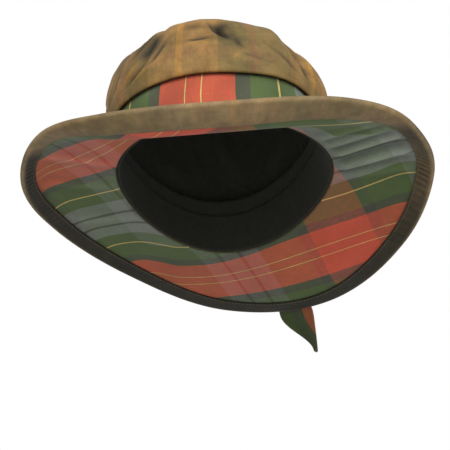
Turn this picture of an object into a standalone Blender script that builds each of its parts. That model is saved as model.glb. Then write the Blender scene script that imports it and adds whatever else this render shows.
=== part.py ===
"""A waxed cotton rain hat with a tartan hat band, a tie at the back and a tartan lining under its brim.

The origin is the centre of the head opening, +Z is the axis of the crown and the wearer faces -Y.
A bearing is an angle round the crown, seen from above: 0 at the front, 90 at +X and 180 at the back."""

from collections import namedtuple
from math import cos, degrees, exp, pi, radians, sin

import bmesh
import bpy
from mathutils import Vector

# Sizes in metres
HEAD_WIDTH = 0.180
HEAD_LENGTH = 0.198
FRONT_DIP = 0.003
BACK_DIP = 0.025
BRIM_WIDTH = 0.087
FACING_WIDTH = 0.016
CROWN_HEIGHT = 0.111
CROWN_LEAN = 0.011
BAND_HEIGHT = 0.042
SWEATBAND_HEIGHT = 0.032
KNOT_WIDTH = 0.032
KNOT_DEPTH = 0.015
TAIL_WIDTH = 0.029
LONG_TAIL_LENGTH = 0.144
SHORT_TAIL_LENGTH = 0.074
TAIL_BEND = 0.012
WAXED_CLOTH = 0.0012
LINING_CLOTH = 0.0010
BAND_CLOTH = 0.0015
SWEATBAND_CLOTH = 0.0012
TAIL_CLOTH = 0.0015
GAP = 0.0003
KNOT_CLEARANCE = 0.0008
TAIL_CLEARANCE = 0.0006

# Shares of the sizes above
CURL_START = 0.55
LEAN_POWER = 0.6
BAND_FOOT = 0.08
BAND_TOP = 0.98
WALL_BEND_LIMIT = 0.75
KNOT_FOOT = 0.24
KNOT_HEIGHT = 0.60
KNOT_PINCH = 0.16
KNOT_SWELL = 0.5
TAIL_START = 0.06
TAIL_TOUCHDOWN = 0.35
STEP_RUN = 0.15

KNOT_BEARING = 164
SEGMENTS = 56
INNER_BRIM_ROWS = 6
FACING_ROWS = 2
EDGE_ROWS = 4
SLOPE_STEPS = 24
DROP_STEPS = 12
MERGE = 0.00001

# The brim at each bearing: its width as a share of BRIM_WIDTH, its slope in degrees from level
# where it leaves the crown and at its rim, up being positive, and its facing's width as a share
# of FACING_WIDTH
BrimSection = namedtuple("BrimSection", "bearing width inner_slope rim_slope facing")
BRIM_SECTIONS = [
    BrimSection(bearing=0, width=0.99, inner_slope=-41, rim_slope=41, facing=1.00),
    BrimSection(bearing=30, width=1.03, inner_slope=-27, rim_slope=26, facing=0.95),
    BrimSection(bearing=60, width=0.92, inner_slope=-2, rim_slope=-27, facing=0.84),
    BrimSection(bearing=90, width=0.95, inner_slope=6, rim_slope=-34, facing=0.77),
    BrimSection(bearing=120, width=1.00, inner_slope=-10, rim_slope=-17, facing=0.85),
    BrimSection(bearing=150, width=1.10, inner_slope=-19, rim_slope=-3, facing=0.96),
    BrimSection(bearing=180, width=1.07, inner_slope=-10, rim_slope=-8, facing=1.00),
    BrimSection(bearing=210, width=1.01, inner_slope=6, rim_slope=-12, facing=0.97),
    BrimSection(bearing=240, width=0.95, inner_slope=9, rim_slope=-20, facing=0.84),
    BrimSection(bearing=270, width=0.90, inner_slope=4, rim_slope=-42, facing=0.62),
    BrimSection(bearing=300, width=0.88, inner_slope=-7, rim_slope=-18, facing=0.68),
    BrimSection(bearing=330, width=1.00, inner_slope=-35, rim_slope=33, facing=0.93),
]

# The crown from its seam to its top: its spread as a share of the head opening, and its height as
# a share of BAND_HEIGHT plus a share of the rest of CROWN_HEIGHT. It goes up behind the band,
# folds out over the band's top edge and down a little, and then up and over as the dome.
CrownLevel = namedtuple("CrownLevel", "spread band dome")
CROWN_LEVELS = [
    CrownLevel(spread=1.000, band=0.000, dome=0.00),
    CrownLevel(spread=0.962, band=0.500, dome=0.00),
    CrownLevel(spread=0.930, band=1.000, dome=0.00),
    CrownLevel(spread=0.932, band=1.090, dome=0.00),
    CrownLevel(spread=0.952, band=1.090, dome=0.00),
    CrownLevel(spread=0.964, band=1.000, dome=0.00),
    CrownLevel(spread=0.978, band=0.945, dome=0.00),
    CrownLevel(spread=0.996, band=0.955, dome=0.00),
    CrownLevel(spread=1.008, band=1.040, dome=0.00),
    CrownLevel(spread=1.018, band=1.000, dome=0.12),
    CrownLevel(spread=1.012, band=1.000, dome=0.30),
    CrownLevel(spread=0.985, band=1.000, dome=0.50),
    CrownLevel(spread=0.930, band=1.000, dome=0.68),
    CrownLevel(spread=0.830, band=1.000, dome=0.82),
    CrownLevel(spread=0.660, band=1.000, dome=0.92),
    CrownLevel(spread=0.400, band=1.000, dome=0.98),
    CrownLevel(spread=0.000, band=1.000, dome=1.00),
]
WALL_LEVELS = CROWN_LEVELS[:3]

# Where the wall and its fold stand higher, as shares of the band's height
FoldRise = namedtuple("FoldRise", "bearing rise spread")
FOLD_RISES = [
    FoldRise(bearing=44, rise=0.165, spread=30),
    FoldRise(bearing=-10, rise=0.052, spread=24),
]

# The dents and swells of the dome. Each is a soft trough along a line: the place of its middle,
# its depth, half length and half width as shares of CROWN_HEIGHT, and the line's angle, 0 along
# the crown towards +bearing and 90 straight up it. A swell has a depth below zero.
Dent = namedtuple("Dent", "bearing dome depth length width angle")
DENTS = [
    Dent(bearing=4, dome=0.61, depth=0.070, length=0.10, width=0.05, angle=-50),
    Dent(bearing=14, dome=0.38, depth=0.020, length=0.12, width=0.06, angle=-60),
    Dent(bearing=-8, dome=0.49, depth=0.018, length=0.09, width=0.03, angle=0),
    Dent(bearing=-35, dome=0.50, depth=0.045, length=0.12, width=0.05, angle=60),
    Dent(bearing=-42, dome=0.24, depth=0.018, length=0.20, width=0.05, angle=24),
    Dent(bearing=-31, dome=0.78, depth=0.030, length=0.08, width=0.06, angle=0),
    Dent(bearing=-42, dome=0.72, depth=0.030, length=0.08, width=0.06, angle=40),
    Dent(bearing=-52, dome=0.78, depth=0.050, length=0.14, width=0.10, angle=30),
    Dent(bearing=-66, dome=0.50, depth=0.025, length=0.14, width=0.10, angle=20),
    Dent(bearing=47, dome=0.71, depth=0.030, length=0.07, width=0.045, angle=-60),
    Dent(bearing=51, dome=0.50, depth=0.045, length=0.15, width=0.055, angle=-60),
    Dent(bearing=58, dome=0.74, depth=0.060, length=0.12, width=0.08, angle=-60),
    Dent(bearing=-3, dome=0.84, depth=-0.008, length=0.14, width=0.09, angle=0),
    Dent(bearing=37, dome=0.76, depth=-0.014, length=0.12, width=0.08, angle=0),
    Dent(bearing=82, dome=0.38, depth=-0.050, length=0.25, width=0.22, angle=90),
    Dent(bearing=-82, dome=0.24, depth=-0.014, length=0.25, width=0.12, angle=0),
    Dent(bearing=104, dome=0.70, depth=0.060, length=0.18, width=0.08, angle=70),
    Dent(bearing=138, dome=0.42, depth=0.055, length=0.22, width=0.07, angle=-35),
    Dent(bearing=174, dome=0.62, depth=0.070, length=0.18, width=0.08, angle=55),
    Dent(bearing=208, dome=0.36, depth=0.045, length=0.22, width=0.07, angle=20),
    Dent(bearing=236, dome=0.72, depth=0.065, length=0.18, width=0.09, angle=-60),
    Dent(bearing=262, dome=0.48, depth=0.040, length=0.16, width=0.06, angle=50),
]
FOLD_SHARE = 0.2
TOP_START = 0.9
TOP_DIP = 0.035

# The tie's tails, each from its side of the knot's foot to its tip
Tail = namedtuple("Tail", "name length side rim_bearing")
TAILS = [
    Tail(name="tail_long", length=LONG_TAIL_LENGTH, side=-1, rim_bearing=161.5),
    Tail(name="tail_short", length=SHORT_TAIL_LENGTH, side=1, rim_bearing=188),
]
TAIL_ROWS = 16
TAIL_COLUMNS = 4
TAIL_DROP_SLOPE = -78
TAIL_GATHER = 0.5
FULL_WIDTH_AT = 0.5
POINT_START = 0.72
POINT_WIDTH = 0.12


def smooth(share):
    share = min(max(share, 0), 1)
    return share * share * (3 - 2 * share)


def round_about(table, column, bearing):
    """The column's value at a bearing, on one smooth curve through all rows of the table."""
    step = 360 / len(table)
    place = bearing % 360 / step
    row = int(place)
    part = place - row
    before, here, after, beyond = (getattr(table[(row + i) % len(table)], column) for i in (-1, 0, 1, 2))
    return 0.5 * (
        2 * here
        + (after - before) * part
        + (2 * before - 5 * here + 4 * after - beyond) * part**2
        + (3 * here - before - 3 * after + beyond) * part**3
    )


def opening_height(bearing):
    """The seam round the head dips at the front and more at the back."""
    along = cos(radians(bearing))
    return -(FRONT_DIP if along > 0 else BACK_DIP) * along**2


def opening_point(bearing, spread=1.0, lift=0.0):
    """A point on the head opening's ellipse, spread by a share of it and then lifted outwards."""
    turn = radians(bearing)
    x = (HEAD_WIDTH / 2 * spread + lift) * sin(turn)
    y = -(HEAD_LENGTH / 2 * spread + lift) * cos(turn)
    return Vector((x, y, opening_height(bearing)))


def outwards(bearing):
    turn = radians(bearing)
    return Vector((sin(turn) / HEAD_WIDTH, -cos(turn) / HEAD_LENGTH, 0)).normalized()


def brim_width(bearing):
    return BRIM_WIDTH * round_about(BRIM_SECTIONS, "width", bearing)


def brim_slope(bearing, share):
    inner = round_about(BRIM_SECTIONS, "inner_slope", bearing)
    rim = round_about(BRIM_SECTIONS, "rim_slope", bearing)
    return radians(inner + (rim - inner) * smooth((share - CURL_START) / (1 - CURL_START)))


def brim_point(bearing, share, lift=0.0, past=0.0):
    """A point of the brim a share of the way to its rim, lifted off it, or past the rim."""
    out = rise = 0
    for i in range(SLOPE_STEPS):
        part = min(max(share * SLOPE_STEPS - i, 0), 1) / SLOPE_STEPS
        slope = brim_slope(bearing, (i + 0.5) / SLOPE_STEPS)
        out += brim_width(bearing) * part * cos(slope)
        rise += brim_width(bearing) * part * sin(slope)
    slope = brim_slope(bearing, share)
    out += past * cos(slope) - lift * sin(slope)
    rise += past * sin(slope) + lift * cos(slope)
    start = opening_point(bearing, lift=GAP)
    return start + out * outwards(bearing) + Vector((0, 0, rise))


def facing_start(bearing):
    return 1 - FACING_WIDTH * round_about(BRIM_SECTIONS, "facing", bearing) / brim_width(bearing)


def facing_lap(bearing):
    """How far across the brim the facing's lap on the top side begins."""
    return 1 - (1 - facing_start(bearing)) / FACING_ROWS


def brim_share(bearing, step):
    """Rows of the brim and its lining, so that one of them lies at the facing's inner edge."""
    inner = INNER_BRIM_ROWS / (INNER_BRIM_ROWS + FACING_ROWS)
    start = facing_start(bearing)
    if step <= inner:
        return start * step / inner
    return start + (1 - start) * (step - inner) / (1 - inner)


def lean(height):
    return CROWN_LEAN * (max(height, 0) / CROWN_HEIGHT) ** LEAN_POWER


def level_height(level):
    return level.band * BAND_HEIGHT + level.dome * (CROWN_HEIGHT - BAND_HEIGHT)


def dent_depth(bearing, dome):
    """How far the dome is pushed in at a place, from the table of dents and the dip at its top."""
    depth = 0
    for dent in DENTS:
        along = radians((bearing - dent.bearing + 180) % 360 - 180) * HEAD_LENGTH / 2
        up = (dome - dent.dome) * (CROWN_HEIGHT - BAND_HEIGHT)
        angle = radians(dent.angle)
        run = (along * cos(angle) + up * sin(angle)) / (dent.length * CROWN_HEIGHT)
        aside = (up * cos(angle) - along * sin(angle)) / (dent.width * CROWN_HEIGHT)
        depth += dent.depth * CROWN_HEIGHT * exp(-(run**2) - aside**2)
    top = smooth((dome - TOP_START) / (1 - TOP_START))
    return depth * smooth(dome / FOLD_SHARE) * (1 - top) + TOP_DIP * CROWN_HEIGHT * top


def fold_rise(bearing):
    """The wall and its fold stand higher where the crown is pulled up, right of the front."""
    rise = 0.0
    for place in FOLD_RISES:
        off = (bearing - place.bearing + 180) % 360 - 180
        rise += place.rise * BAND_HEIGHT * exp(-((off / place.spread) ** 2))
    return rise


def crown_point(bearing, level, lift=0.0):
    height = level_height(level)
    point = opening_point(bearing, level.spread, lift)
    point.x -= lean(height)
    point.z = height + (point.z + level.band * fold_rise(bearing)) * (1 - smooth(level.dome))
    if level.dome > 0:
        middle = Vector((-lean(CROWN_HEIGHT), 0, BAND_HEIGHT))
        point += (middle - point).normalized() * dent_depth(bearing, level.dome)
    return point


def wall_point(bearing, band, lift):
    """A point on the flat facets of the crown's upright wall, a share of BAND_HEIGHT above its seam."""
    place = min(max(band, 0), 1) * (len(WALL_LEVELS) - 1)
    row = min(int(place), len(WALL_LEVELS) - 2)
    below = crown_point(bearing, WALL_LEVELS[row], lift)
    above = crown_point(bearing, WALL_LEVELS[row + 1], lift)
    return below.lerp(above, place - row)


def wall_strip(name, foot, top, lift, thickness, flip=False):
    """A band against the crown's wall, bent where the wall is."""
    bend = min(max(WALL_LEVELS[1].band, foot), foot + (top - foot) * WALL_BEND_LIMIT)

    def point(turn, step):
        return wall_point(360 * turn, (foot, bend, top)[round(2 * step)], lift)

    return surface(name, point, SEGMENTS, 2, thickness, flip)


def object_of(name, bm, thickness):
    """The object made from a surface, which becomes a shell under its faces."""
    mesh = bpy.data.meshes.new(name)
    bm.to_mesh(mesh)
    bm.free()
    mesh.shade_smooth()
    obj = bpy.data.objects.new(name, mesh)
    hat.objects.link(obj)
    if thickness:
        shell = obj.modifiers.new("cloth", "SOLIDIFY")
        shell.thickness = thickness
        shell.offset = -1
    return obj


def surface(name, point, columns, rows, thickness, flip=False, turned_rows=0):
    """A shell over a grid that point(across, along) shapes, both shares from 0 to 1.

    Layers that lie on each other have their faces cut along the same diagonal, which is the
    other one on the last rows of a strip that turns back over itself."""
    bm = bmesh.new()
    bmesh.ops.create_grid(bm, x_segments=columns, y_segments=rows, size=0.5)
    turned = [face for face in bm.faces if face.calc_center_median().y > 0.5 - turned_rows / rows]
    bmesh.ops.triangulate(bm, faces=turned, quad_method="ALTERNATE")
    bmesh.ops.triangulate(bm, faces=bm.faces, quad_method="FIXED")
    for vertex in bm.verts:
        vertex.co = point(vertex.co.x + 0.5, vertex.co.y + 0.5)
    bmesh.ops.remove_doubles(bm, verts=bm.verts, dist=MERGE)
    if flip:
        bmesh.ops.reverse_faces(bm, faces=bm.faces)
    return object_of(name, bm, thickness)


def crown():
    last = len(CROWN_LEVELS) - 1

    def point(turn, step):
        return crown_point(360 * turn, CROWN_LEVELS[round(step * last)])

    return surface("crown", point, SEGMENTS, last, WAXED_CLOTH)


def brim():
    def point(turn, step):
        bearing = 360 * turn
        return brim_point(bearing, brim_share(bearing, step), GAP / 2 + WAXED_CLOTH)

    return surface("brim", point, SEGMENTS, INNER_BRIM_ROWS + FACING_ROWS, WAXED_CLOTH, flip=True)


def brim_lining():
    def point(turn, step):
        bearing = 360 * turn
        return brim_point(bearing, brim_share(bearing, step), -GAP / 2 - LINING_CLOTH)

    return surface("brim_lining", point, SEGMENTS, INNER_BRIM_ROWS + FACING_ROWS, LINING_CLOTH)


def brim_facing():
    """The waxed strip on the underside, which turns round the rim and laps a row onto the top side."""
    under = -GAP / 2 - LINING_CLOTH - GAP - WAXED_CLOTH
    over = GAP / 2 + WAXED_CLOTH + GAP + WAXED_CLOTH
    radius = (over - under) / 2
    rows = FACING_ROWS + EDGE_ROWS + 1

    def point(turn, step):
        bearing = 360 * turn
        row = round(step * rows)
        start = facing_start(bearing)
        if row < FACING_ROWS:
            return brim_point(bearing, start + (1 - start) * row / FACING_ROWS, under)
        if row < rows:
            angle = pi * (row - FACING_ROWS) / EDGE_ROWS
            lift = (over + under) / 2 - radius * cos(angle)
            return brim_point(bearing, 1, lift, past=GAP + radius * sin(angle))
        return brim_point(bearing, facing_lap(bearing), over)

    return surface("brim_facing", point, SEGMENTS, rows, WAXED_CLOTH, turned_rows=1)


def hat_band():
    return wall_strip("hat_band", BAND_FOOT, BAND_TOP, GAP + BAND_CLOTH, BAND_CLOTH)


def sweatband():
    depth = WAXED_CLOTH + GAP + SWEATBAND_CLOTH
    top = min(SWEATBAND_HEIGHT / BAND_HEIGHT, 1)
    return wall_strip("sweatband", 0, top, -depth, SWEATBAND_CLOTH, flip=True)


def band_knot():
    """The wrap of cloth over the crossing of the tie, fuller at its middle than at its sides."""
    foot = wall_point(KNOT_BEARING, KNOT_FOOT, BAND_CLOTH + KNOT_CLEARANCE)
    head = wall_point(KNOT_BEARING, KNOT_FOOT + KNOT_HEIGHT, BAND_CLOTH + KNOT_CLEARANCE)
    up = (head - foot).normalized()
    side = outwards(KNOT_BEARING).cross(up).normalized()
    out = up.cross(side)
    height = (head - foot).length
    bm = bmesh.new()
    bmesh.ops.create_cube(bm, size=1)
    bmesh.ops.subdivide_edges(bm, edges=bm.edges, cuts=1, use_grid_fill=True)
    for vertex in bm.verts:
        across, depth, rise = vertex.co
        pinch = 1 - KNOT_PINCH * (1 - 2 * abs(across))
        swell = 1 + KNOT_SWELL * (1 - 2 * abs(rise)) * (1 - 2 * abs(across))
        vertex.co = (
            (foot + head) / 2
            + side * across * KNOT_WIDTH
            + out * (depth + 0.5) * swell * KNOT_DEPTH
            + up * rise * height * pinch
        )
    knot = object_of("band_knot", bm, None)
    rounding = knot.modifiers.new("rounding", "SUBSURF")
    rounding.levels = rounding.render_levels = 1
    return knot


def tail_offset(tail, across, along):
    """How far aside of its middle line a tail reaches: gathered at the knot, and slanted at its end."""
    full = TAIL_WIDTH * (TAIL_GATHER + (1 - TAIL_GATHER) * smooth(along / FULL_WIDTH_AT))
    width = full * (1 - (1 - POINT_WIDTH) * smooth((along - POINT_START) / (1 - POINT_START)))
    return (across - 0.5) * width + tail.side * (full - width) / 2


def tail_bearing(tail, share):
    """The middle of a tail, beside the other one at the knot and spread from it at the rim."""
    beside = (TAIL_GATHER * TAIL_WIDTH / 2 + TAIL_CLEARANCE) / (HEAD_LENGTH / 2)
    start = KNOT_BEARING + tail.side * degrees(beside)
    return start + (tail.rim_bearing - start) * smooth(share)


def tail_point(tail, across, along):
    """The tail lies on the brim and, where it is longer than the brim is wide, hangs over the rim."""
    reach = TAIL_START * BRIM_WIDTH + along * tail.length
    rim = brim_width(tail.rim_bearing)
    share = min(reach / rim, 1)
    radius = HEAD_LENGTH / 2 + share * BRIM_WIDTH
    bearing = tail_bearing(tail, share) + degrees(tail_offset(tail, across, along) / radius)
    on_facing = smooth((share - facing_lap(bearing)) / STEP_RUN + 1)
    rest = GAP / 2 + WAXED_CLOTH + TAIL_CLEARANCE + on_facing * (GAP + WAXED_CLOTH)
    at_knot = max(KNOT_FOOT * BAND_HEIGHT - 2 * TAIL_CLOTH, rest)
    lift = at_knot + (rest - at_knot) * smooth(share / TAIL_TOUCHDOWN)
    point = brim_point(bearing, share, lift)
    slope = brim_slope(bearing, 1)
    part = max(reach - rim, 0) / DROP_STEPS
    for i in range(DROP_STEPS):
        turned = smooth((i + 0.5) * part / (2 * TAIL_BEND))
        angle = slope + (radians(TAIL_DROP_SLOPE) - slope) * turned
        point += outwards(bearing) * part * cos(angle) + Vector((0, 0, part * sin(angle)))
    return point


def band_tail(tail):
    def point(across, along):
        return tail_point(tail, across, along)

    return surface(tail.name, point, TAIL_COLUMNS, TAIL_ROWS, -TAIL_CLOTH, flip=True)


def finish(name, colour, roughness):
    material = bpy.data.materials.new(name)
    material.use_nodes = True
    shader = material.node_tree.nodes["Principled BSDF"]
    shader.inputs["Base Color"].default_value = (*colour, 1)
    shader.inputs["Roughness"].default_value = roughness
    shader.inputs["Metallic"].default_value = 0
    return material


for obj in list(bpy.data.objects):
    bpy.data.objects.remove(obj)
hat = bpy.data.collections.new("waxed_hat")
bpy.context.scene.collection.children.link(hat)

waxed_cotton = finish("waxed_cotton", (0.15, 0.11, 0.05), 0.6)
tartan_lining = finish("tartan_lining", (0.10, 0.09, 0.07), 0.85)
tartan_band = finish("tartan_band", (0.35, 0.05, 0.05), 0.85)
dark_cotton = finish("dark_cotton", (0.01, 0.01, 0.01), 0.9)

crown().data.materials.append(waxed_cotton)
brim().data.materials.append(waxed_cotton)
brim_facing().data.materials.append(waxed_cotton)
brim_lining().data.materials.append(tartan_lining)
hat_band().data.materials.append(tartan_band)
band_knot().data.materials.append(tartan_band)
sweatband().data.materials.append(dark_cotton)
for tail in TAILS:
    band_tail(tail).data.materials.append(tartan_band)
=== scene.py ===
"""A waxed cotton rain hat with a tartan hat band, a tie at the back and a tartan lining under its brim.

The origin is the centre of the head opening, +Z is the axis of the crown and the front faces -Y.
A bearing is an angle round the crown, seen from above: 0 at the front, 90 at +X and 180 at the back."""

from collections import namedtuple
from math import cos, pi, radians, sin

import bpy
import numpy as np
from bpy.props import FloatProperty, FloatVectorProperty, PointerProperty
from mathutils import Matrix, Vector, noise


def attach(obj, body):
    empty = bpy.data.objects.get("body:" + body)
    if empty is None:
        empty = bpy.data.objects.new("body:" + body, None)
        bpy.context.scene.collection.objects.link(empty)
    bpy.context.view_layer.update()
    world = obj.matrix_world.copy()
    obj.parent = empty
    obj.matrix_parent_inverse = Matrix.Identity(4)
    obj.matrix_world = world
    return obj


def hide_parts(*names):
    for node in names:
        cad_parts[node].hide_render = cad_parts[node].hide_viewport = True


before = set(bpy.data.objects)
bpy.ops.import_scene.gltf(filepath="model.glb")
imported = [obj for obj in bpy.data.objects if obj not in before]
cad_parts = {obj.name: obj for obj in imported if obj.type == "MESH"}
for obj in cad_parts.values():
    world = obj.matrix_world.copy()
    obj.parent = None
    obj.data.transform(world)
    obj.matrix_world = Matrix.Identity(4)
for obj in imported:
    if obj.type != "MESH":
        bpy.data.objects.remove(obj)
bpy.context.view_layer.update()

bl_info = {
    "name": "Waxed rain hat",
    "version": (1, 0, 0),
    "blender": (4, 5, 0),
    "location": "3D View > Sidebar > Waxed Hat",
    "description": "Models a soft waxed cotton rain hat with a tartan lining, band and tie",
    "category": "Add Mesh",
}

# Thickness of the cloths and the room between them, in metres
WAXED_CLOTH = 0.0012
LINING_CLOTH = 0.0010
BAND_CLOTH = 0.0015
SWEATBAND_CLOTH = 0.0012
TAIL_CLOTH = 0.0015
GAP = 0.0003
KNOT_CLEARANCE = 0.0008
TAIL_CLEARANCE = 0.0006

# Heights of the layers' outer faces over the middle of the brim, in metres, below zero under it
LINING_FACE = -GAP / 2 - LINING_CLOTH
FACING_FOOT = LINING_FACE - GAP - WAXED_CLOTH
BRIM_FACE = GAP / 2 + WAXED_CLOTH
FACING_TOP = BRIM_FACE + GAP + WAXED_CLOTH

# How far the head opening dips at the front and back, the curve of the long tail over the rim, and
# the stitches of the facing, in metres
FRONT_DIP = 0.003
BACK_DIP = 0.025
TAIL_BEND = 0.012
STITCH_LENGTH = 0.0026
STITCH_GAP = 0.0008
STITCH_WIDTH = 0.0005
STITCH_INSET = 0.0020

# Soft relief of the cloths in metres: how far it stands out, and how wide its waves are
CRUMPLE = 0.0011
CRUMPLE_SIZE = 0.030
CRUMPLE_FINE = 0.0004
CRUMPLE_FINE_SIZE = 0.011
TOP_SEAM_RELIEF = 0.0006
BRIM_CRUMPLE = 0.0005
BRIM_CRUMPLE_SIZE = 0.045
BAND_CRUMPLE = 0.0005
BAND_CRUMPLE_SIZE = 0.022
PUCKER = 0.0006
TAIL_PLEAT = 0.0011
TAIL_WAVE = 0.0007

# How deep the crown's folds, the facing's puckers and the lining's drapes are where their painted
# shade is darkest or their painted highlight palest, in metres
SHADED_FOLD = 0.0034
SHADED_PUCKER = 0.0011
SHADED_DRAPE = 0.0028

# Shares of the hat's sizes
CURL_START = 0.55
LEAN_POWER = 0.6
BAND_FOOT = 0.08
BAND_TOP = 0.98
KNOT_FOOT = 0.24
KNOT_HEIGHT = 0.60
KNOT_PINCH = 0.16
KNOT_SWELL = 0.5
KNOT_PLEAT = 0.045
KNOT_PUFF = 1.28
TAIL_START = 0.06
TAIL_TOUCHDOWN = 0.35
STEP_RUN = 0.15
FOLD_SHARE = 0.2
CRUMPLE_SHARE = 0.1
TOP_START = 0.9
TOP_DIP = 0.035
TOP_SEAM = 0.80
TOP_SEAM_SPREAD = 0.012
TAIL_GATHER = 0.5
FULL_WIDTH_AT = 0.5
POINT_START = 0.72
POINT_WIDTH = 0.12

# Degrees: where the knot is, and how steeply the long tail hangs
KNOT_BEARING = 164
TAIL_DROP_SLOPE = -78

# Shares of the facing's grid where its fold round the rim begins and ends
FOLD_BEGINS = 0.5
FOLD_ENDS = 0.8

# Faces round each piece and across it
CROWN_GRID = (384, 112)
BRIM_GRID = (480, 36)
LINING_GRID = (720, 38)
FACING_GRID = (900, 22)
BAND_GRID = (480, 18)
TAIL_GRID = (24, 120)

# Extra length that gives more rows to the fold over the band, the radius that the crown's check is
# wrapped round, where the check lies on its top panel, and the height of the stain over its seam,
# in metres
FOLD_ROWS = 0.06
HEAD_RADIUS = 0.094
TOP_PANEL = (0.031, 0.02)
SEAM_STAIN = 0.004

# Steps along the brim's slope and the hanging tail, and the distance under which points are merged
SLOPE_STEPS = 24
DROP_STEPS = 24
MERGE = 0.00001

# Spacing of the two cloths' threads in metres, and how many times that a thread stays even for
WAXED_THREAD = 0.0012
TARTAN_THREAD = 0.0010
THREAD_RUN = 14

# Marks to a metre: clouds of wax 29 mm wide, patches 77 mm, specks of dirt 13 mm, crinkles 7 mm, soil
# on the tartan 45 mm, slubs of the dark cotton 6 mm and dirt on the sewing thread 17 mm
CLOUDS = 34.0
PATCHES = 13.0
SPECKS = 75.0
CRINKLES = 150.0
SOIL = 22.0
SLUBS = 160.0
THREAD_DIRT = 60.0

# A Mix node for colours: its factor is input 0, and the colours that it mixes are inputs 6 and 7
MIX = {"data_type": "RGBA", "output": 2}

# The brim at each bearing: its width as a share of the brim's width, its slope in degrees from level
# where it leaves the crown and at its rim, up being positive, and its facing's width as a share
# of the facing's usual width
BrimSection = namedtuple("BrimSection", "bearing width inner_slope rim_slope facing")
BRIM_SECTIONS = [
    BrimSection(bearing=0, width=0.99, inner_slope=-41, rim_slope=41, facing=1.00),
    BrimSection(bearing=30, width=1.03, inner_slope=-27, rim_slope=26, facing=0.95),
    BrimSection(bearing=60, width=0.92, inner_slope=-2, rim_slope=-27, facing=0.84),
    BrimSection(bearing=90, width=0.95, inner_slope=6, rim_slope=-34, facing=0.77),
    BrimSection(bearing=120, width=1.00, inner_slope=-10, rim_slope=-17, facing=0.85),
    BrimSection(bearing=150, width=1.10, inner_slope=-19, rim_slope=-3, facing=0.96),
    BrimSection(bearing=180, width=1.07, inner_slope=-10, rim_slope=-8, facing=1.00),
    BrimSection(bearing=210, width=1.01, inner_slope=6, rim_slope=-12, facing=0.97),
    BrimSection(bearing=240, width=0.95, inner_slope=9, rim_slope=-20, facing=0.84),
    BrimSection(bearing=270, width=0.90, inner_slope=4, rim_slope=-42, facing=0.62),
    BrimSection(bearing=300, width=0.88, inner_slope=-7, rim_slope=-18, facing=0.68),
    BrimSection(bearing=330, width=1.00, inner_slope=-35, rim_slope=33, facing=0.93),
]

# The crown from its seam to its top: its spread as a share of the head opening, and its height as
# a share of the band's height plus a share of the rest of the crown's height
CrownLevel = namedtuple("CrownLevel", "spread band dome")
CROWN_LEVELS = [
    CrownLevel(spread=1.000, band=0.000, dome=0.00),
    CrownLevel(spread=0.962, band=0.500, dome=0.00),
    CrownLevel(spread=0.930, band=1.000, dome=0.00),
    CrownLevel(spread=0.932, band=1.090, dome=0.00),
    CrownLevel(spread=0.952, band=1.090, dome=0.00),
    CrownLevel(spread=0.964, band=1.000, dome=0.00),
    CrownLevel(spread=0.978, band=0.945, dome=0.00),
    CrownLevel(spread=0.996, band=0.955, dome=0.00),
    CrownLevel(spread=1.008, band=1.040, dome=0.00),
    CrownLevel(spread=1.018, band=1.000, dome=0.12),
    CrownLevel(spread=1.012, band=1.000, dome=0.30),
    CrownLevel(spread=0.985, band=1.000, dome=0.50),
    CrownLevel(spread=0.930, band=1.000, dome=0.68),
    CrownLevel(spread=0.830, band=1.000, dome=0.82),
    CrownLevel(spread=0.660, band=1.000, dome=0.92),
    CrownLevel(spread=0.400, band=1.000, dome=0.98),
    CrownLevel(spread=0.000, band=1.000, dome=1.00),
]

# Where the wall and its fold stand higher, as shares of the band's height
FoldRise = namedtuple("FoldRise", "bearing rise spread")
FOLD_RISES = [
    FoldRise(bearing=44, rise=0.165, spread=30),
    FoldRise(bearing=-10, rise=0.052, spread=24),
]

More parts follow.
